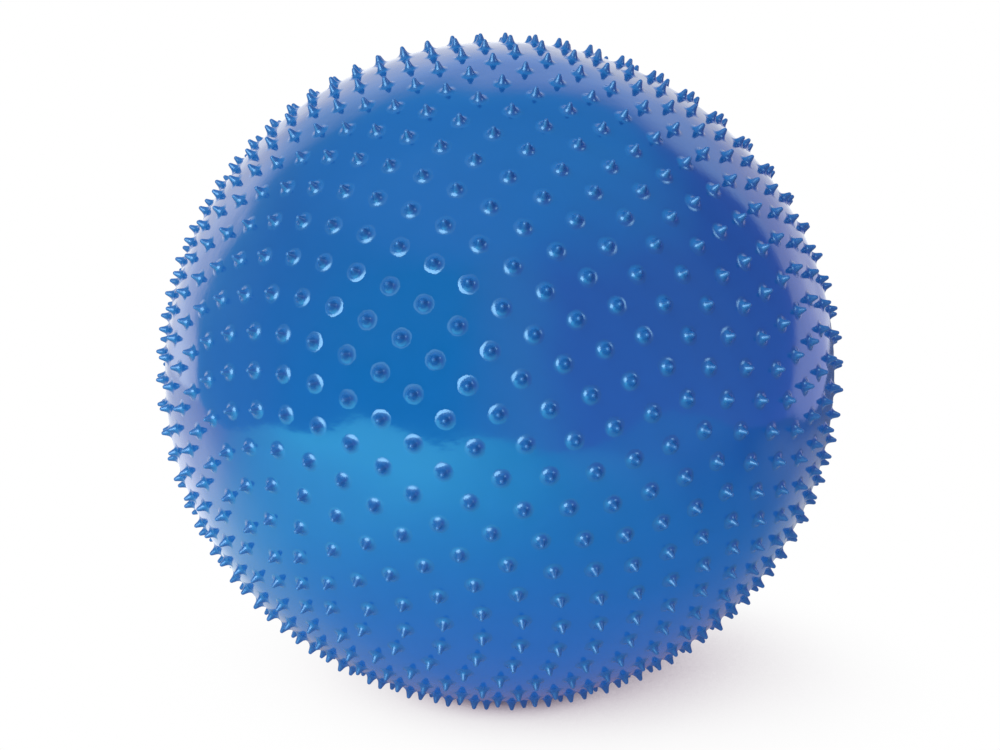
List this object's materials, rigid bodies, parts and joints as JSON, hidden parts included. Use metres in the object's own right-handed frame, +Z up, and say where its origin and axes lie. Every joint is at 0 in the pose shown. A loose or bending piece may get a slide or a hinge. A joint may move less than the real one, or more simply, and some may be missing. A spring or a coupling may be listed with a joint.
{
  "type": "spiked massage ball",
  "caption": "Inflated vinyl massage ball with rows of moulded conical spikes all over its skin, and a push-in air plug in a flanged valve bush.",
  "frame": {"origin": "on the floor, straight below the middle of the ball, at the middle of the box's bottom", "axes": "+Z up, -Y towards the front that the picture shows, the valve up and to the back right"},
  "size_m": [0.6671, 0.6666, 0.6513],
  "materials": {
    "blue_vinyl": "glossy soft vinyl, deep blue, faintly translucent in the spikes",
    "bush_vinyl": "satin soft vinyl, lighter blue",
    "plug_plastic": "satin white plastic"
  },
  "bodies": {
    "ball": {"spiked_skin": "blue_vinyl", "valve_bush": "bush_vinyl"},
    "plug": {"air_plug": "plug_plastic"}
  },
  "joints": [
    {"name": "plug_pull", "type": "slide", "parent": "ball", "child": "plug", "axis": [0.5356, 0.6981, 0.4752], "range_m": [0, 0.06]}
  ]
}
